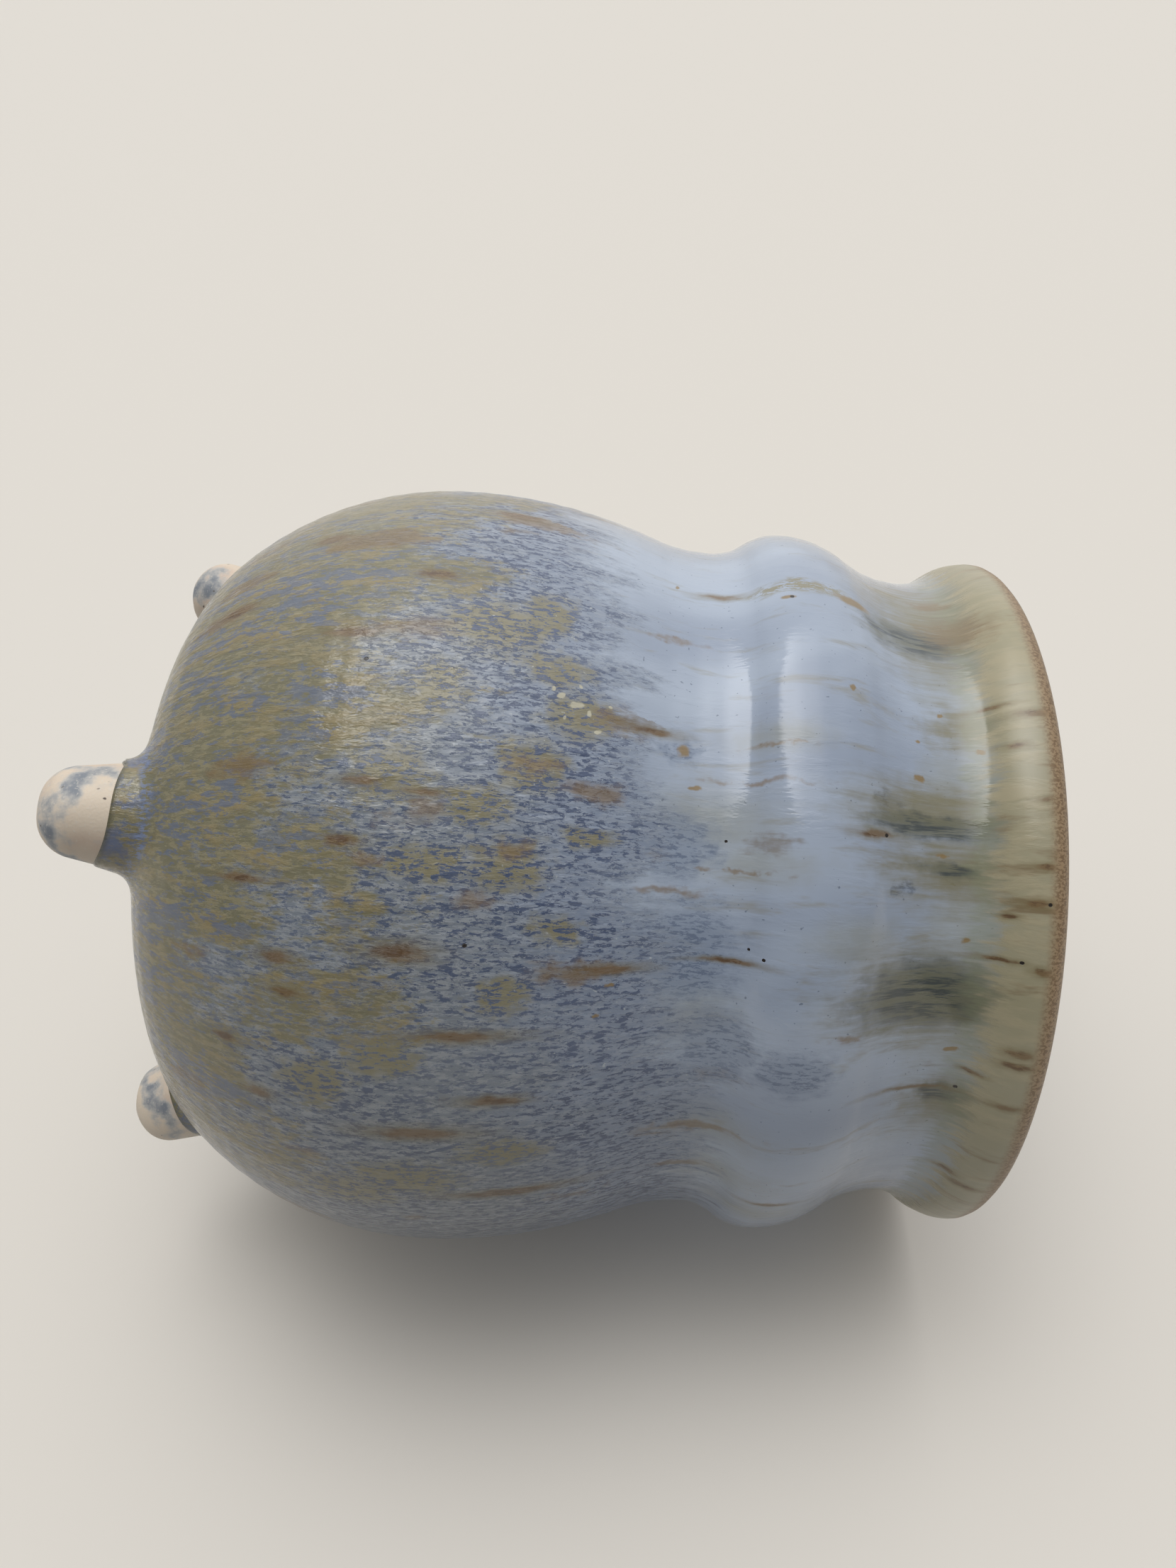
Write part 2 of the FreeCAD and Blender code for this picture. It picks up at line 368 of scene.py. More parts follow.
def nearest_on_underside(points):
    """The nearest points on the glazed underside, the normals there, and the way along the skin.

    The underside is a ring of round section under the corner arc, and flat inside that ring.
    """
    radius = np.hypot(points[..., 0], points[..., 1])
    round_part = np.stack([np.maximum(radius - corner_centre[0], 0), points[..., 2] - corner_centre[1]], -1)
    round_part /= np.linalg.norm(round_part, axis=-1, keepdims=True)
    skin_radius = base_corner + glaze
    angle = np.arctan2(round_part[..., 0], -round_part[..., 1])
    flat = np.minimum(radius, corner_centre[0])
    turn = np.arctan2(points[..., 1], points[..., 0])
    skin_height = corner_centre[1] + skin_radius * round_part[..., 1]
    surface = revolve(flat + skin_radius * round_part[..., 0], skin_height, turn)
    normal = revolve(round_part[..., 0], round_part[..., 1], turn)
    return surface, normal, flat - drain_edge + skin_radius * angle


# Mean height of the glaze's edge up each peg, how far it slants, and the turn at which it is highest.
glaze_edges = [(8.1, 1.1, -90), (7.6, 0.8, 40), (8.2, 0.7, 160), (7.4, 0.9, -150)]
edge_waver = 0.25

# The rounded edge: how far each row is up the peg from the edge, and how thick the coat is there.
roll_rise = np.array([0, 0.05, 0.18, 0.42])[:, None]
roll_thickness = np.array([-0.1, 0.16, 0.28, 0.35])[:, None]
edge_room = 0.4

# The hollow round at the root: how far down the peg and out along the pot it reaches.
hollow_drop = 2.3
hollow_spread = 3.0
hollow_rows = 12
straight_rows = 5
pool_rows_on_peg = 2

# The hidden rows: tucked under the pot's coat, then back inside the peg.
tuck_spread = 4.0
tuck_depths = (0.10, 0.45)
hidden_depth = 0.4
hidden_rise = 1.0
meeting_range = (7.0, 15.0)
halvings = 30
far_from_edge = 20.0


def coat_on_peg(height, thickness, turn):
    """Points of a coat on a peg, with its thickness square to the taper."""
    return peg_points(height, peg_radius(height) + thickness * foot_slope, turn)


def meeting_height(turn):
    """How far up the peg its coat meets the pot's coat at each turn, found by halving."""
    low, high = (np.full_like(turn, height) for height in meeting_range)
    for halving in range(halvings):
        middle = (low + high) / 2
        point = coat_on_peg(middle, glaze, turn)
        surface, normal, way = nearest_on_underside(point)
        outside_pot = np.sum((point - surface) * normal, -1) > 0
        low, high = np.where(outside_pot, middle, low), np.where(outside_pot, high, middle)
    return low


def sleeve(index):
    """The coat on one foot's root: a rounded edge, a length of peg, and a hollow round out to the pot.

    The hollow is a curve with its corner where the coated peg meets the coated pot. It ends just under the
    pot's own coat, and the hidden rows close the sleeve behind it. Also gives, for every point, its
    coordinates on the glaze, how deep the glaze pools there, and how far it is from the glaze's edge.
    """
    turn = np.linspace(0, 2 * np.pi, foot_columns, endpoint=False)[None, :]
    root = meeting_height(turn)
    meeting = coat_on_peg(root, glaze, turn)
    normal = nearest_on_underside(meeting)[1]
    outward = peg_points(0, 1.0, turn) - peg_points(0, 0.0, turn)
    outward = outward - np.sum(outward * normal, -1, keepdims=True) * normal
    outward /= np.linalg.norm(outward, axis=-1, keepdims=True)

    mean, slant, highest = glaze_edges[index]
    edge = mean + slant * np.cos(turn - np.radians(highest)) + edge_waver * np.sin(3 * turn + index)
    hollow_start = root - hollow_drop
    edge = np.minimum(edge, hollow_start - edge_room)
    rounded = coat_on_peg(edge + roll_rise, roll_thickness, turn)
    climb = np.linspace(0, 1, straight_rows + 1)[1:, None]
    straight_height = edge + roll_rise[-1] + climb * (hollow_start - edge - roll_rise[-1])
    straight = coat_on_peg(straight_height, roll_thickness[-1] + climb * (glaze - roll_thickness[-1]), turn)
    far = nearest_on_underside(meeting + hollow_spread * outward)[0]
    bend = np.linspace(0, 1, hollow_rows + 1)[1:, None, None]
    hollow = (1 - bend) ** 2 * straight[-1:] + 2 * bend * (1 - bend) * meeting + bend**2 * far
    tucked, tucked_normal, way = nearest_on_underside(meeting + tuck_spread * outward)
    tucked_rows = [tucked - depth * tucked_normal for depth in tuck_depths]
    hidden_height = np.concatenate([root, edge + hidden_rise])
    hidden = peg_points(hidden_height, peg_radius(hidden_height) - hidden_depth, turn)
    points = np.concatenate([rounded, straight, hollow, *tucked_rows, hidden])

    surface, normal, way = nearest_on_underside(points)
    away = np.sum((points - surface) * normal, -1)
    surface_radius = np.hypot(surface[..., 0], surface[..., 1])
    run = run_coordinates(surface_radius, np.arctan2(points[..., 1], points[..., 0]), way - away)
    shown = len(rounded) + len(straight) + len(hollow)
    pool_start = shown - len(hollow) - pool_rows_on_peg
    pool = np.zeros(points.shape[:2])
    pool[pool_start:shown] = np.sin(np.linspace(0, np.pi, shown - pool_start))[:, None] ** 2
    from_edge = np.full(points.shape[:2], far_from_edge)
    steps = np.linalg.norm(np.diff(points[:shown], axis=0), axis=-1)
    from_edge[:shown] = np.concatenate([np.zeros_like(turn), np.cumsum(steps, axis=0)])
    return turn_to_foot(points, index), turn_to_foot(run, index), pool, from_edge


coat_parts = [(shell, shell_run, np.zeros(shell.shape[:2]), np.full(shell.shape[:2], far_from_edge))]
coat_parts += [sleeve(index) for index in range(len(foot_names))]
coat_faces = []
first_point = 0
for part in coat_parts:
    rows, columns = part[0].shape[:2]
    coat_faces += (ring_faces(rows, columns, True) + first_point).tolist()
    first_point += rows * columns


def joined(which, width):
    """One array of every part of the coat, end to end, with a row of some width for each point."""
    return np.concatenate([part[which].reshape(-1, width) for part in coat_parts])


# Marks on the glaze, listed one by one: turn round the pot in degrees, way up the skin, half length and half
# width in millimetres. Iron bleeding out of the clay draws brown streaks along the run of the glaze.
iron_streaks = [
    (-94, 73, 2.6, 0.6), (-93, 80, 2.6, 0.5), (-87, 71, 2.4, 0.7), (-82, 59, 3.8, 0.6),
    (-75, 78, 3.6, 1.1), (-73, 64, 2.4, 0.8), (-69, 65, 2.2, 0.7), (-65, 85, 6.2, 0.7),
    (-51, 80, 6.2, 1.0), (-38, 91, 7.5, 0.9), (-113, 69, 4.2, 1.1), (-123, 78, 3.0, 1.0),
    (-133, 62, 3.0, 1.3), (-121, 51, 4.0, 1.1), (-141, 86, 4.0, 1.2), (-104, 106, 3.6, 0.6),
    (-74, 117, 4.0, 0.35), (-73, 102, 4.2, 0.6), (-132, 115, 3.2, 0.7), (-56, 89, 3.8, 0.7),
    (-113, 151, 2.4, 0.4), (-111, 156, 3.0, 0.6), (-106, 153, 1.6, 0.6), (-98, 156, 1.2, 0.4),
    (-84, 155, 1.9, 0.6), (-82, 152, 1.2, 0.4), (-76, 151, 2.8, 0.4), (-75, 156, 1.5, 0.6),
    (-63, 155, 1.6, 0.7), (-61, 155, 2.4, 0.6), (-54, 155, 2.4, 0.5), (-54, 143, 5.6, 0.4),
    (-36, 151, 1.5, 0.6), (-34, 154, 2.5, 0.6), (-32, 126, 3.6, 0.5), (-61, 56, 1.8, 0.8),
    (-54, 60, 2.2, 0.9), (-92, 134, 3.2, 0.5), (-89, 156, 1.8, 0.5), (-58, 150, 1.6, 0.4),
]

# Warm stains round some of the streaks, and thin ones along the collar.
warm_patches = [
    (-114, 77, 5.5, 1.9), (-97, 92, 3.2, 1.6), (-81, 86, 2.6, 1.1), (-85, 74, 2.6, 0.9),
    (-120, 109, 3.6, 0.7), (-83, 109, 4.8, 0.6), (-140, 147, 3.2, 2.0), (-65, 132, 2.8, 0.6),
    (-87, 90, 3.0, 1.4), (-91, 80, 2.8, 1.6), (-130, 149, 6.0, 5.0), (-86, 117, 7.0, 0.35),
    (-98, 119, 8.0, 0.5), (-103, 122, 5.0, 0.4), (-47, 115, 7.0, 0.9), (-37, 113, 5.0, 1.0),
]

# Darker blue-grey patches on the collar, broken by darker flecks. The largest lie over the groove and darken
# it.
fleck_patches = [
    (-60, 126, 6.0, 3.8), (-85, 139, 1.6, 1.2), (-97, 136, 3.0, 1.5), (-75, 112, 7.0, 8.0),
    (-128, 140, 3.0, 2.0), (-102, 110, 2.6, 2.0), (-62, 116, 6.0, 6.0), (-89, 110, 5.0, 5.0),
]

# A cluster of cream blisters at the dip line, small golden crystals, and pinholes where gas came out.
cream_spots = [
    (-106.6, 95.0, 0.6, 0.5), (-105.6, 96.4, 0.7, 0.6), (-104.8, 98.0, 0.6, 0.5),
    (-107.4, 93.6, 0.5, 0.4), (-103.6, 95.4, 0.4, 0.35), (-108.2, 97.2, 0.4, 0.3),
    (-102.4, 99.6, 0.4, 0.35), (-106.0, 100.6, 0.35, 0.3),
]
gold_spots = [
    (-133, 109, 0.8, 0.7), (-130, 133, 3.6, 1.3), (-128, 124, 0.9, 0.5), (-112, 131, 0.7, 0.6),
    (-90, 144, 0.8, 0.5), (-101, 141, 0.8, 0.7), (-106, 149, 0.8, 0.6), (-107, 141, 0.5, 0.4),
    (-112, 144, 0.6, 0.5), (-78, 147, 1.0, 0.5), (-61, 147, 0.9, 0.5), (-102, 110, 1.1, 1.1),
    (-71, 103, 0.5, 0.4), (-67, 101, 0.4, 0.4), (-97, 112, 1.1, 0.4),
]
pinholes = [
    (-75, 121, 0.26, 0.24), (-76, 119, 0.2, 0.2), (-92, 136, 0.3, 0.28),
    (-54.5, 148.5, 0.3, 0.3), (-76, 153.7, 0.3, 0.25), (-76, 85.5, 0.3, 0.26),
    (-109, 71.3, 0.3, 0.26), (-90, 115.7, 0.2, 0.2), (-84, 156.4, 0.26, 0.26),
    (-128, 124.5, 0.3, 0.3),
]

# Islands of olive among the blue flecks of the belly, and faint olive hazes on the collar.
olive_pools = [
    (-85, 90, 4.2, 2.8), (-97, 92, 3.6, 2.8), (-89, 99, 3.2, 1.1), (-115, 86, 6.0, 3.6),
    (-118, 92, 3.0, 3.4), (-106, 80, 3.0, 3.0), (-104, 97, 4.4, 2.6), (-85, 81, 4.0, 1.8),
    (-145, 66, 8.0, 6.0), (-131, 126, 6.0, 1.4), (-70, 90, 3.0, 2.0), (-62, 76, 4.0, 2.2),
    (-47, 90, 5.0, 2.0), (-95, 76, 4.0, 2.6), (-78, 96, 3.0, 1.4), (-92, 86, 4.0, 2.0),
    (-110, 94, 4.0, 2.0), (-58, 68, 4.0, 2.5), (-42, 78, 6.0, 3.0), (-38, 70, 6.0, 3.0),
]
olive_hazes = [
    (-93, 114, 8.0, 4.0), (-87, 119, 7.0, 2.4), (-104, 122, 6.0, 2.0), (-66, 113, 5.0, 3.5),
    (-47, 114, 9.0, 3.5), (-37, 117, 8.0, 4.0), (-28, 124, 8.0, 3.0), (-78, 133, 6.0, 3.0),
    (5, 118, 9.0, 5.0), (60, 121, 8.0, 4.0), (110, 116, 9.0, 4.0), (160, 122, 8.0, 5.0),
    (-80, 147, 6.0, 5.0), (-62, 147, 6.0, 5.0), (-102, 147, 6.0, 4.0), (-47, 148, 7.0, 5.0),
    (-118, 148, 6.0, 5.0),
]

# Olive runs that hang from the lip over the neck, and their dark cores.
neck_runs = [
    (-135, 148, 9.0, 12.0), (-96, 143, 9.5, 3.2), (-88, 147, 8.0, 4.0), (-70, 144, 10.0, 5.2),
    (-110, 149, 5.0, 3.4), (-69, 147, 7.0, 4.0), (-52, 149, 5.5, 3.6), (-10, 144, 8.0, 6.0),
    (40, 143, 8.0, 3.0), (75, 145, 8.0, 7.0), (130, 144, 9.0, 4.0), (172, 146, 7.0, 5.0),
]
neck_cores = [
    (-127, 142, 5.0, 2.4), (-94, 143, 7.0, 1.3), (-88, 145, 3.0, 0.8), (-70, 143, 7.5, 3.4),
    (-53, 147, 2.5, 1.2), (-10, 143, 5.0, 2.4), (40, 142, 5.0, 1.2), (75, 144, 5.0, 2.8),
    (130, 143, 6.0, 1.6), (172, 145, 4.0, 2.0),
]


def nearest_mark(tree, place, marks):
    """Distance to the nearest mark, counted in that mark's own half length and half width."""
    nearest = None
    for turn, way, half_length, half_width in marks:
        size = np.array([1 / half_width, 1 / half_width, 1 / half_length])
        centre = revolve(drum_radius, way, np.radians(turn))
        terms = {0: place, 1: size.tolist(), 2: (-centre * size).tolist()}
        offset = add_node(tree, "VectorMath", terms, operation="MULTIPLY_ADD")
        distance = add_node(tree, "VectorMath", {0: offset}, "Value", operation="LENGTH")
        if nearest is not None:
            distance = add_node(tree, "Math", {0: nearest, 1: distance}, operation="MINIMUM")
        nearest = distance
    return nearest


# A thick stoneware glaze in two coats: milky periwinkle above the dip line; below it the second coat breaks
# into blue flecks over grey, and lower down into straw-olive mottled with blue. Glassy, with faint waves.
outer_glaze, tree, shader = new_material("rutile_blue_stoneware_glaze")
run = add_node(tree, "Attribute", output="Vector", attribute_name="run")
pooled = add_node(tree, "Attribute", output="Fac", attribute_name="pool")
from_edge = add_node(tree, "Attribute", output="Fac", attribute_name="edge")
way_up = add_node(tree, "SeparateXYZ", {0: run}, "Z")

# Each pattern: size round the pot and along the run in millimetres, detail and roughness of the noise.
glaze_swirl = 0.3
patterns = {}
for name, around, along, detail, rough in [
    ("cloud", 15.0, 26.0, 2, 0.5),
    ("ragged", 4.0, 14.0, 5, 0.65),
    ("island", 9.0, 17.0, 3, 0.55),
    ("tuft", 0.85, 2.8, 6, 0.74),
    ("fleck", 0.50, 1.6, 6, 0.74),
    ("milk", 0.62, 2.2, 6, 0.74),
    ("blot", 3.5, 4.0, 3, 0.6),
    ("smear", 2.9, 15.0, 4, 0.65),
    ("streak", 0.9, 8.0, 4, 0.65),
    ("straw", 2.4, 8.0, 4, 0.65),
    ("speck", 0.5, 0.6, 1, 0.5),
    ("grit", 0.35, 0.45, 2, 0.6),
    ("wave", 9.0, 12.0, 1, 0.5),
]:
    stretched = add_node(tree, "VectorMath", {0: run, 1: (around, around, along)}, operation="DIVIDE")
    noise = {"Vector": stretched, "Scale": 1.0, "Detail": detail, "Roughness": rough}
    patterns[name] = add_node(tree, "TexNoise", {**noise, "Distortion": glaze_swirl})

# The marks' outlines wander, mostly along the run. Small marks only follow a share of it.
wander_size = 2.2
wander_reach = np.array([1.2, 1.2, 4.0])
unsteady_share = 0.4
wander_noise = add_node(tree, "TexNoise", {"Vector": run, "Scale": 1 / wander_size, "Detail": 3}, "Color")
terms = {0: wander_noise, 1: (2 * wander_reach).tolist(), 2: (-wander_reach).tolist()}
wander = add_node(tree, "VectorMath", terms, operation="MULTIPLY_ADD")
wandering = add_node(tree, "VectorMath", {0: run, 1: wander}, operation="ADD")
terms = {0: wander, 1: [unsteady_share] * 3, 2: run}
unsteady = add_node(tree, "VectorMath", terms, operation="MULTIPLY_ADD")

# Scattered streaks on all sides, one in some cells of an even scatter.
cell_size = (7.0, 7.0, 20.0)
chance_spread = 0.5
cells = add_node(tree, "VectorMath", {0: wandering, 1: cell_size}, operation="DIVIDE")
scatter = add_node(tree, "TexVoronoi", {"Vector": cells, "Scale": 1.0}).node.outputs
chance = add_node(tree, "SeparateColor", {0: scatter["Color"]})
terms = {0: chance, 1: chance_spread, 2: scatter["Distance"]}
scattered = add_node(tree, "Math", terms, operation="MULTIPLY_ADD")

# What drives each cover: a way up the skin, a pattern, or a distance. The dip line slants across the pot,
# and the top of the olive slants the other way.
drives = {"way": way_up, "rim": way_up, "pool": pooled, "edge": from_edge, "scatter": scattered, **patterns}
for name, slant in [("dip", -0.21), ("olive", 0.33)]:
    terms = {0: run, 1: (slant, 0, 1)}
    drives[name] = add_node(tree, "VectorMath", terms, "Value", operation="DOT_PRODUCT")
for name, marks, place in [
    ("iron", iron_streaks, unsteady),
    ("warm", warm_patches, wandering),
    ("gold", gold_spots, unsteady),
    ("cream", cream_spots, unsteady),
    ("pin", pinholes, run),
    ("olive_pool", olive_pools, wandering),
    ("haze", olive_hazes, wandering),
    ("fleck_patch", fleck_patches, wandering),
    ("neck_run", neck_runs, wandering),
    ("neck_core", neck_cores, wandering),
]:
    drives[name] = nearest_mark(tree, place, marks)

# The patterns pull each line and outline about, by so many millimetres, or so many sizes of a mark.
for name, pulls in [
    ("dip", {"ragged": 30.0, "tuft": 16.0, "fleck": 8.0}),
    ("olive", {"island": 88.0, "tuft": 46.0, "fleck": 34.0}),
    ("tuft", {"ragged": 0.6}),
    ("rim", {"straw": 6.0, "streak": 8.0}),
    ("iron", {"streak": 0.9, "tuft": 0.7}),
    ("warm", {"streak": 0.9, "tuft": 0.7}),
    ("olive_pool", {"streak": 0.8, "tuft": 0.8}),
    ("haze", {"smear": 1.2, "streak": 0.6}),
    ("fleck_patch", {"streak": 0.8, "fleck": 0.8}),
    ("neck_run", {"streak": 1.6, "tuft": 0.4}),
    ("neck_core", {"streak": 1.6, "tuft": 0.4}),
    ("scatter", {"streak": 0.3, "tuft": 0.2}),
]:
    for pattern, pull in pulls.items():
        terms = {0: patterns[pattern], 1: pull, 2: drives[name]}
        drives[name] = add_node(tree, "Math", terms, operation="MULTIPLY_ADD")

# How far each cover reaches: it is 0 where its drive is at the first number and 1 at the second.
covers = {}
for name, drive, bare, full in [
    ("belly", "dip", 138.0, 124.0),
    ("dark_band", "dip", 104.0, 126.0),
    ("olive", "olive", 160.0, 144.0),
    ("olive_pool", "olive_pool", 2.4, 1.3),
    ("fleck_patch", "fleck_patch", 2.0, 1.2),
    ("haze", "haze", 2.6, 0.8),
    ("neck_run", "neck_run", 3.0, 1.2),
    ("neck_core", "neck_core", 3.0, 1.6),
    ("fleck", "fleck", 0.51, 0.55),
    ("milk", "milk", 0.49, 0.54),
    ("tuft", "tuft", 0.81, 0.86),
    ("blot", "blot", 0.50, 0.62),
    ("straw", "straw", 0.42, 0.66),
    ("cloud", "cloud", 0.35, 0.68),
    ("smear", "smear", 0.55, 0.74),
    ("streak", "streak", 0.44, 0.58),
    ("speck", "speck", 0.73, 0.78),
    ("white", "speck", 0.28, 0.23),
    ("iron", "iron", 1.9, 1.1),
    ("halo", "iron", 3.0, 1.3),
    ("scatter", "scatter", 0.50, 0.34),
    ("rust", "scatter", 0.70, 0.50),
    ("warm", "warm", 2.0, 1.0),
    ("gold", "gold", 1.0, 0.45),
    ("cream", "cream", 1.0, 0.6),
    ("pin", "pin", 1.0, 0.75),
    ("rim", "rim", 155.5, 159.0),
    ("rim_edge", "rim", 153.5, 155.5),
    ("lip", "way", 156.0, 157.8),
    ("grit", "grit", 0.44, 0.58),
    ("pool", "pool", 0.45, 0.95),
    ("root", "edge", 6.0, 4.0),
    ("edge", "edge", 1.3, 0.3),
]:
    limits = {0: drives[drive], 1: bare, 2: full}
    covers[name] = add_node(tree, "MapRange", limits, interpolation_type="SMOOTHSTEP")

# What some covers leave free, and covers that are the product of two.
for name in ("milk", "fleck", "belly", "rim"):
    covers[f"no_{name}"] = add_node(tree, "Math", {0: 1.0, 1: covers[name]}, operation="SUBTRACT")
for name, first, second in [
    ("belly_olive", "belly", "olive"),
    ("belly_fleck", "belly", "fleck"),
    ("band_fleck", "belly_fleck", "dark_band"),
    ("belly_band", "belly", "dark_band"),
    ("deep_fleck", "belly_fleck", "cloud"),
    ("band_white", "belly", "white"),
    ("white_band", "band_white", "dark_band"),
    ("belly_milk", "belly", "milk"),
    ("belly_straw", "belly", "straw"),
    ("belly_rust", "belly", "rust"),
    ("iron_core", "iron", "tuft"),
    ("root_blot", "root", "blot"),
    ("pool_streak", "pool", "milk"),
    ("olive_straw", "belly_olive", "straw"),
    ("olive_tuft", "belly_olive", "tuft"),
    ("olive_dark", "belly_olive", "no_milk"),
    ("pool_olive", "olive_pool", "no_fleck"),
    ("neck_dark", "neck_core", "streak"),
    ("high_fleck", "fleck_patch", "fleck"),
    ("high_smear", "smear", "no_belly"),
    ("high_speck", "speck", "no_belly"),
    ("rim_streak", "rim", "smear"),
    ("rim_straw", "rim", "straw"),
    ("lip_grit", "lip", "grit"),
    ("green_edge", "rim_edge", "no_rim"),
]:
    covers[name] = add_node(tree, "Math", {0: covers[first], 1: covers[second]}, operation="MULTIPLY")

# The glaze's colours, laid one over the other, each with the most that it covers.
colour = linear("#a7b2c2")
for name, shade, most in [
    ("cloud", "#8b96a9", 0.75),
    ("high_smear", "#8a8778", 0.65),
    ("high_speck", "#667182", 0.75),
    ("haze", "#8c8a72", 0.45),
    ("fleck_patch", "#7a879b", 0.62),
    ("high_fleck", "#5e6b82", 0.75),
    ("belly", "#7b828a", 1.0),
    ("belly_milk", "#969b9f", 0.80),
    ("belly_band", "#8797b4", 0.45),
    ("belly_fleck", "#566177", 0.75),
    ("band_fleck", "#445272", 0.65),
    ("deep_fleck", "#3d4a66", 0.60),
    ("belly_olive", "#8a8260", 0.90),
    ("olive_dark", "#666550", 0.60),
    ("olive_straw", "#90815a", 0.75),
    ("olive_tuft", "#5f6b83", 0.75),
    ("pool_olive", "#837b59", 0.85),
    ("neck_run", "#7a7352", 0.86),
    ("neck_core", "#555a4d", 0.52),
    ("neck_dark", "#373f43", 0.80),
    ("green_edge", "#85886c", 0.45),
    ("rim", "#9a9377", 0.95),
    ("rim_straw", "#a69c80", 0.75),
    ("rim_streak", "#6f5a3c", 0.75),
    ("white_band", "#bcc2c2", 0.65),
    ("halo", "#776c4b", 0.55),
    ("warm", "#7b6545", 0.65),
    ("belly_rust", "#79623f", 0.70),
    ("scatter", "#705f42", 0.55),
    ("iron", "#715737", 0.75),
    ("iron_core", "#553d27", 0.75),
    ("gold", "#87714a", 0.90),
    ("cream", "#bdb8a2", 0.90),
    ("lip", "#977d5e", 0.90),
    ("lip_grit", "#6a5238", 0.80),
    ("root_blot", "#5a6789", 0.65),
    ("pool_streak", "#7182a6", 0.70),
    ("edge", "#4d4a34", 0.80),
    ("pin", "#1f1812", 1.0),
]:
    cover = add_node(tree, "Math", {0: covers[name], 1: most}, operation="MULTIPLY")
    colour = add_node(tree, "Mix", {0: cover, 6: colour, 7: linear(shade)}, 2, data_type="RGBA")

# The flecks stand up a little, the pinholes are pits, and slow waves keep the reflections from being perfect.
# The glaze is duller where it is flecked, and on the rim and lip, where it is thin.
skin_depth = 0.10
height = patterns["wave"]
for name, rise in [
    ("belly_fleck", 0.12),
    ("belly_milk", 0.10),
    ("belly_straw", 0.50),
    ("straw", 0.20),
    ("pin", -0.90),
]:
    height = add_node(tree, "Math", {0: covers[name], 1: rise, 2: height}, operation="MULTIPLY_ADD")
dullness = 0.09
for name, dulling in [("belly_fleck", 0.11), ("rim", 0.20), ("lip", 0.15)]:
    terms = {0: covers[name], 1: dulling, 2: dullness}
    dullness = add_node(tree, "Math", terms, operation="MULTIPLY_ADD")
glaze_refraction = 1.52
skin = add_node(tree, "Bump", {"Height": height, "Distance": skin_depth * MM, "Strength": 1.0})
tree.links.new(colour, shader.inputs["Base Color"])
tree.links.new(skin, shader.inputs["Normal"])
tree.links.new(dullness, shader.inputs["Roughness"])
shader.inputs["IOR"].default_value = glaze_refraction

add_piece(
    "outer_glaze_coat",
    joined(0, 3),
    coat_faces,
    outer_glaze,
    "outer_glaze",
    ["outer_glaze"],
    run=joined(1, 3),
    pool=joined(2, 1),
    edge=joined(3, 1),
)

# The liner: the same milky glaze poured in, swilled round and tipped out, so it is plainer than the outside.
# It meets the outer coat at the crest of the lip, runs down the wall over the thrower's finger rings, and
# pools a deeper blue on the floor round the drain hole.

liner_rows = 170
liner_lines = base_line(belly[0] - wall, belly_arc - wall, floor_corner, floor_height)[0]
for points, normals in (swell_line(*swell) for swell in swells):
    liner_lines.append((points - wall * normals, normals))
lip_points, lip_away = arc_line(lip_centre, wall / 2, np.pi, np.pi / 2)
liner_lines.append((lip_points, -lip_away))
liner_line = coat_line(liner_lines, -1, liner_rows)

# Finger rings on the wall and a slow spiral on the floor, none at the lip.
finger_spacing = 6.5
finger_depth = 0.16
finger_calm = 4.0
finger_fade = 12.0
liner_way = liner_line[2][:, None]
lip_fade = np.clip((liner_way[-1] - liner_way - finger_calm) / finger_fade, 0, 1)
fingers = 0.5 + 0.5 * np.sin(2 * np.pi * liner_way / finger_spacing - turns)
liner_thickness = glaze - finger_depth * lip_fade * fingers
behind_rows = np.linspace(0, liner_rows - 1, clay_rows).astype(int)
liner_shell, liner_run = coat_shell(liner_line, liner_thickness, np.arange(liner_rows)[::-1], behind_rows)

# One thick coat of the same glaze, milky and smooth, broken to brown on the lip. It is darker blue where it
# ran into the hollows, with iron specks that floated up out of the clay.
liner_glaze, tree, shader = new_material("milky_blue_stoneware_glaze")
run = add_node(tree, "Attribute", output="Vector", attribute_name="run")
way_up = add_node(tree, "SeparateXYZ", {0: run}, "Z")
drives = {"way": way_up}
for name, around, along, detail, rough in [
    ("cloud", 13.0, 30.0, 2, 0.5),
    ("smear", 2.6, 18.0, 2, 0.5),
    ("fleck", 0.6, 1.7, 3, 0.6),
    ("speck", 0.9, 1.0, 1, 0.5),
    ("grit", 0.35, 0.45, 2, 0.6),
    ("wave", 9.0, 12.0, 1, 0.5),
]:
    stretched = add_node(tree, "VectorMath", {0: run, 1: (around, around, along)}, operation="DIVIDE")
    noise = {"Vector": stretched, "Scale": 1.0, "Detail": detail, "Roughness": rough}
    drives[name] = add_node(tree, "TexNoise", noise)
lip_way = float(liner_way[-1, 0])
for name, pattern, pull in [("rim", "smear", 9.0), ("floor", "cloud", 12.0)]:
    terms = {0: drives[pattern], 1: pull, 2: way_up}
    drives[name] = add_node(tree, "Math", terms, operation="MULTIPLY_ADD")
colour = linear("#a3aebe")
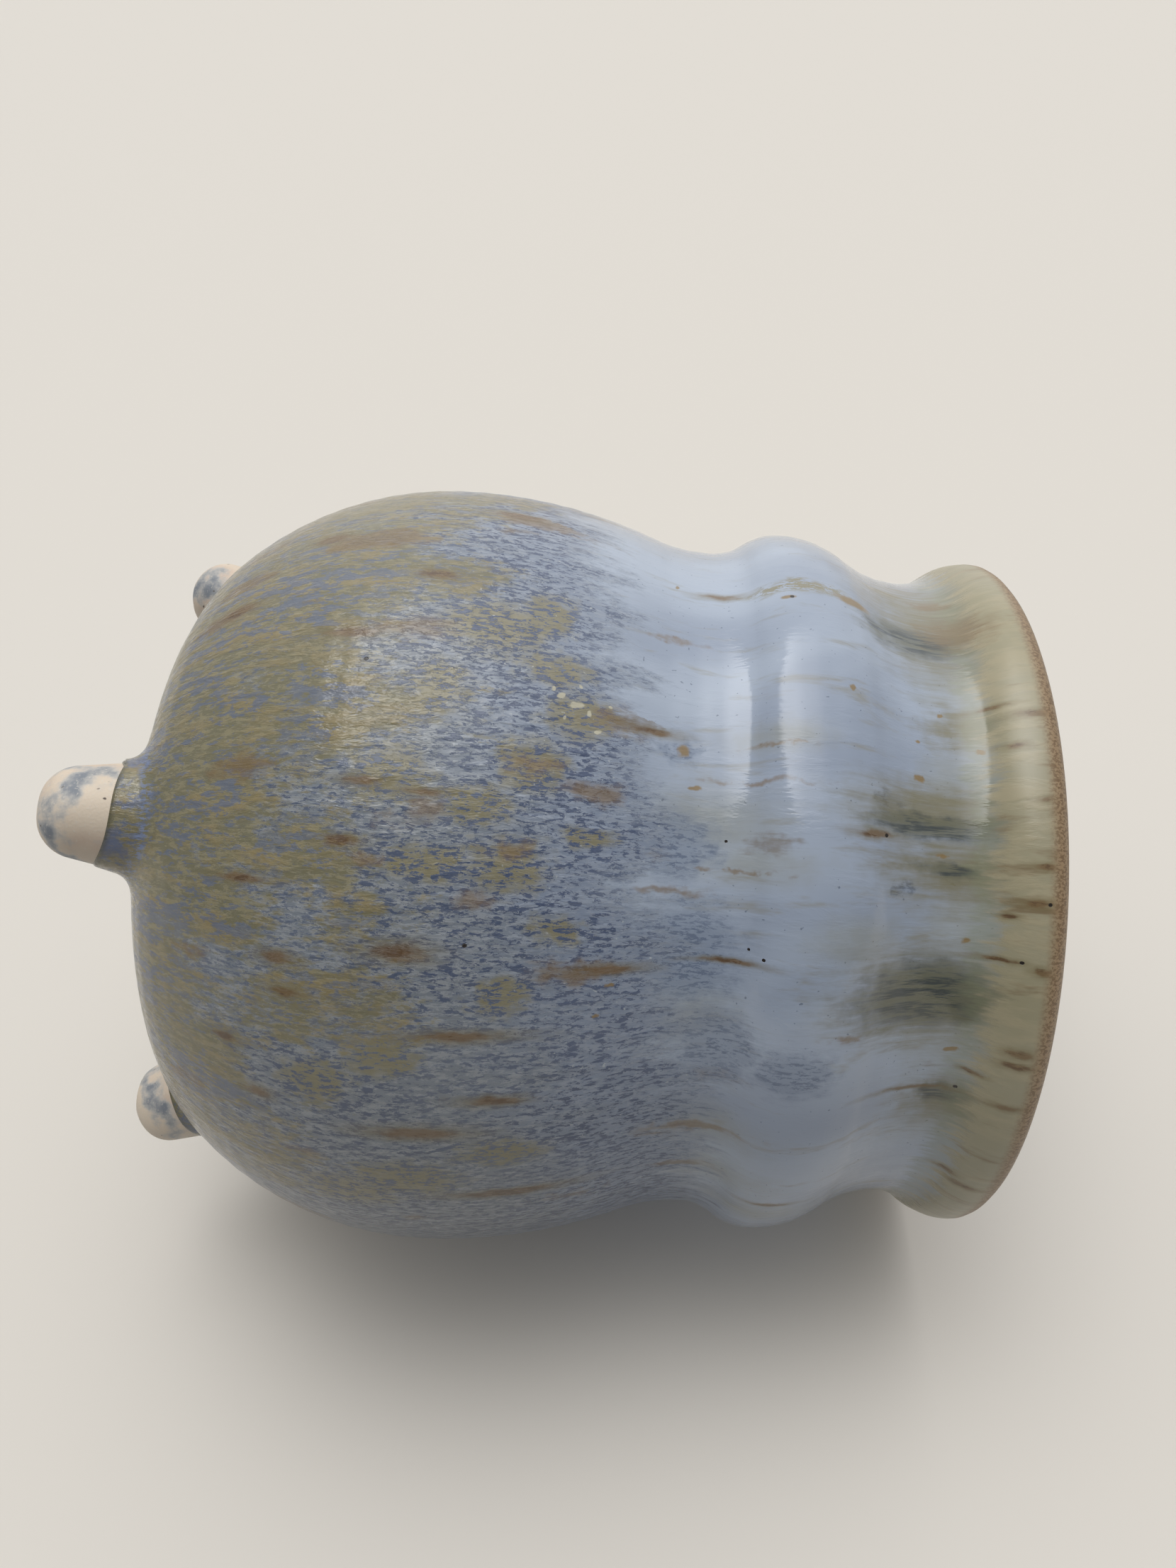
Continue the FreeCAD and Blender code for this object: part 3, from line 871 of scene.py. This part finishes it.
for drive, bare, full, shade, most in [
    ("cloud", 0.35, 0.68, "#8d9aad", 0.8),
    ("fleck", 0.56, 0.64, "#76849a", 0.5),
    ("smear", 0.58, 0.76, "#8e8a7e", 0.6),
    ("floor", 58.0, 34.0, "#66799a", 0.75),
    ("rim", lip_way - 6, lip_way + 1, "#968e6c", 0.85),
    ("speck", 0.74, 0.78, "#5c4a38", 0.85),
    ("way", lip_way - 2.6, lip_way, "#93805f", 0.8),
]:
    limits = {0: drives[drive], 1: bare, 2: full, 4: most}
    cover = add_node(tree, "MapRange", limits, interpolation_type="SMOOTHSTEP")
    colour = add_node(tree, "Mix", {0: cover, 6: colour, 7: linear(shade)}, 2, data_type="RGBA")
skin = add_node(tree, "Bump", {"Height": drives["wave"], "Distance": skin_depth * MM, "Strength": 1.0})
tree.links.new(colour, shader.inputs["Base Color"])
tree.links.new(skin, shader.inputs["Normal"])
shader.inputs["Roughness"].default_value = 0.12
shader.inputs["IOR"].default_value = glaze_refraction

add_piece(
    "liner_glaze_coat",
    liner_shell,
    ring_faces(len(liner_shell), pot_columns, True).tolist(),
    liner_glaze,
    "liner_glaze",
    ["liner_glaze"],
    run=liner_run.reshape(-1, 3),
)

# The floor: a sheet of pale card. The pot was photographed lying on its side, and stands here as it is used,
# so the sheet stands on edge and touches the belly and the ridge. Seen from behind, it isn't there.

lie_turn = np.radians(49.0)
lie_tilt = np.arctan2(belly[0] - ridge[0], ridge[1] - belly[1])
card_gap = 0.2
card_half = 4000.0
touch = revolve(belly[0] + glaze + card_gap, belly[1], lie_turn)
card_up = -revolve(np.cos(lie_tilt), np.sin(lie_tilt), lie_turn)
card_across = np.array([-np.sin(lie_turn), np.cos(lie_turn), 0])
card_along = np.cross(card_up, card_across)
corner_signs = [(-1, -1), (1, -1), (1, 1), (-1, 1)]
card_corners = [touch + card_half * (i * card_across + j * card_along) for i, j in corner_signs]
card_mesh = bpy.data.meshes.new("card_floor")
card_mesh.from_pydata((np.array(card_corners) * MM).tolist(), [], [[0, 1, 2, 3]])
card = bpy.data.objects.new("card_floor", card_mesh)
bpy.context.scene.collection.objects.link(card)
card.visible_diffuse = False
card.visible_shadow = False

# Matt card: one flat warm white. Its back lets everything through.
card_paper, tree, shader = new_material("matt_card")
shader.inputs["Base Color"].default_value = linear("#d8d3cb")
shader.inputs["Roughness"].default_value = 0.9
shader.inputs["Specular IOR Level"].default_value = 0.2
back = add_node(tree, "NewGeometry", output="Backfacing")
clear = add_node(tree, "BsdfTransparent")
one_sided = add_node(tree, "MixShader", {0: back, 1: shader.outputs[0], 2: clear})
tree.links.new(one_sided, tree.nodes["Material Output"].inputs["Surface"])
card_mesh.materials.append(card_paper)

# The camera: a phone held close over the lying pot, so its picture is turned a quarter round from upright.
# Its focal length is counted in pixels of a picture that is 2212 high.

camera_turn = np.radians(-86.0)
camera_distance = 180.3
camera_height = 72.0
focal_pixels = 1550.0
picture_height = 2212.0
towards = revolve(1.0, 0.0, camera_turn)
picture_right = np.array([0.0, 0.0, 1.0])
picture_up = np.cross(towards, picture_right)
upright = Matrix(np.stack([picture_right, picture_up, towards], 1).tolist())
yaw, pitch, roll = np.radians([-1.37, -4.14, -3.25])
tilt = Matrix.Rotation(roll, 3, "Z") @ Matrix.Rotation(pitch, 3, "X") @ Matrix.Rotation(yaw, 3, "Y")
camera_place = Vector(revolve(camera_distance, camera_height, camera_turn) * MM)
lens_data = bpy.data.cameras.new("phone")
lens_data.sensor_width = 36.0
lens_data.lens = lens_data.sensor_width * focal_pixels / picture_height
lens_data.clip_start = 0.01
phone = bpy.data.objects.new("phone", lens_data)
phone.matrix_world = Matrix.Translation(camera_place) @ (upright @ tilt.transposed()).to_4x4()
bpy.context.scene.collection.objects.link(phone)
bpy.context.scene.camera = phone

# The light: a bright room, strongest above the lying pot, a lamp over the card, and what the card throws
# back. A soft panel near the camera and a pale wall only show in the gloss. Straight to the camera the
# room is the colour of the card.

room_least = 0.16
room_gain = 0.58
lamp_strength = 6.3
lamp_gloss = 1.7
lamp_focus = 19.0
lamp_turn = np.radians(-50.0)
lamp_lean = np.radians(-5.0)
card_bounce = 0.25
bounce_full = -0.4
wall_gloss = 0.6
wall_start = 0.70

# The panel: how bright it is, how square its outline is, where its soft edge starts and ends in sizes of the
# panel, and its middle and half size in degrees, round the pot and along it.
panel_gloss = 3.8
panel_squareness = 2.5
panel_outside = 1.22
panel_inside = 0.84
panel_turn = -49.0
panel_half_turn = 31.0
panel_rise = 6.0
panel_half_rise = 38.0
panel_dark_rise = 42.0
panel_bright_rise = -26.0

world = bpy.data.worlds.new("studio")
world.use_nodes = True
bpy.context.scene.world = world
tree = world.node_tree
ray = add_node(tree, "LightPath").node.outputs
glossy = ray["Is Glossy Ray"]
seen = ray["Is Camera Ray"]

# Directions are taken from the camera: towards it, down its picture and along the pot.
direction = add_node(tree, "TexCoord", output="Generated")
turning = {"Vector": direction, "Angle": -camera_turn}
from_camera = add_node(tree, "VectorRotate", turning, rotation_type="Z_AXIS")
to_camera, down_picture, up_pot = add_node(tree, "SeparateXYZ", {0: from_camera}).node.outputs
round_pot = add_node(tree, "Math", {0: down_picture, 1: to_camera}, operation="ARCTAN2")
along_pot = add_node(tree, "Math", {0: up_pot}, operation="ARCSINE")

# The room's own light grows as the square of how far overhead it comes from. The lamp is a soft round glow.
overhead = add_node(tree, "MapRange", {0: down_picture, 1: 1.0, 2: -1.0})
room = add_node(tree, "Math", {0: overhead, 1: 2.0}, operation="POWER")
room = add_node(tree, "Math", {0: room, 1: room_gain, 2: room_least}, operation="MULTIPLY_ADD")
lamp_way = revolve(np.cos(lamp_lean), np.sin(lamp_lean), lamp_turn).tolist()
lamp = add_node(tree, "VectorMath", {0: from_camera, 1: lamp_way}, "Value", operation="DOT_PRODUCT")
lamp = add_node(tree, "Math", {0: lamp, 1: 0.0}, operation="MAXIMUM")
lamp = add_node(tree, "Math", {0: lamp, 1: lamp_focus}, operation="POWER")
lamp_shown = add_node(tree, "MapRange", {0: glossy, 3: lamp_strength, 4: lamp_gloss})
room = add_node(tree, "Math", {0: lamp, 1: lamp_shown, 2: room}, operation="MULTIPLY_ADD")
card_way = card_up.tolist()
over_card = add_node(tree, "VectorMath", {0: direction, 1: card_way}, "Value", operation="DOT_PRODUCT")
bounce = add_node(tree, "MapRange", {0: over_card, 1: 0.0, 2: bounce_full, 4: card_bounce})
room = add_node(tree, "Math", {0: room, 1: bounce}, operation="ADD")

# The panel is an oval with square shoulders and soft edges, and fades along the pot.
panel_sides = [(round_pot, panel_turn, panel_half_turn), (along_pot, panel_rise, panel_half_rise)]
panel_reach = 0.0
for position, middle, half in panel_sides:
    terms = {0: position, 1: 1 / np.radians(half), 2: -middle / half}
    offset = add_node(tree, "Math", terms, operation="MULTIPLY_ADD")
    offset = add_node(tree, "Math", {0: offset}, operation="ABSOLUTE")
    offset = add_node(tree, "Math", {0: offset, 1: panel_squareness}, operation="POWER")
    panel_reach = add_node(tree, "Math", {0: offset, 1: panel_reach}, operation="ADD")
limits = {0: panel_reach, 1: panel_outside, 2: panel_inside, 4: panel_gloss}
panel = add_node(tree, "MapRange", limits, interpolation_type="SMOOTHSTEP")
limits = {0: along_pot, 1: np.radians(panel_dark_rise), 2: np.radians(panel_bright_rise)}
fading = add_node(tree, "MapRange", limits)
fading = add_node(tree, "Math", {0: fading, 1: 2.0}, operation="POWER")
limits = {0: overhead, 1: wall_start, 2: 1.0, 4: wall_gloss}
wall_glow = add_node(tree, "MapRange", limits, interpolation_type="SMOOTHSTEP")
reflected = add_node(tree, "Math", {0: panel, 1: fading, 2: wall_glow}, operation="MULTIPLY_ADD")
light = add_node(tree, "Math", {0: reflected, 1: glossy, 2: room}, operation="MULTIPLY_ADD")
colours = {0: seen, 6: linear("#ffffff"), 7: linear("#e2ddd4")}
sky_colour = add_node(tree, "Mix", colours, 2, data_type="RGBA")
sky_strength = add_node(tree, "Mix", {0: seen, 2: light, 3: 1.0})
background = tree.nodes["Background"]
tree.links.new(sky_colour, background.inputs["Color"])
tree.links.new(sky_strength, background.inputs["Strength"])
bpy.context.scene.view_settings.view_transform = "Standard"
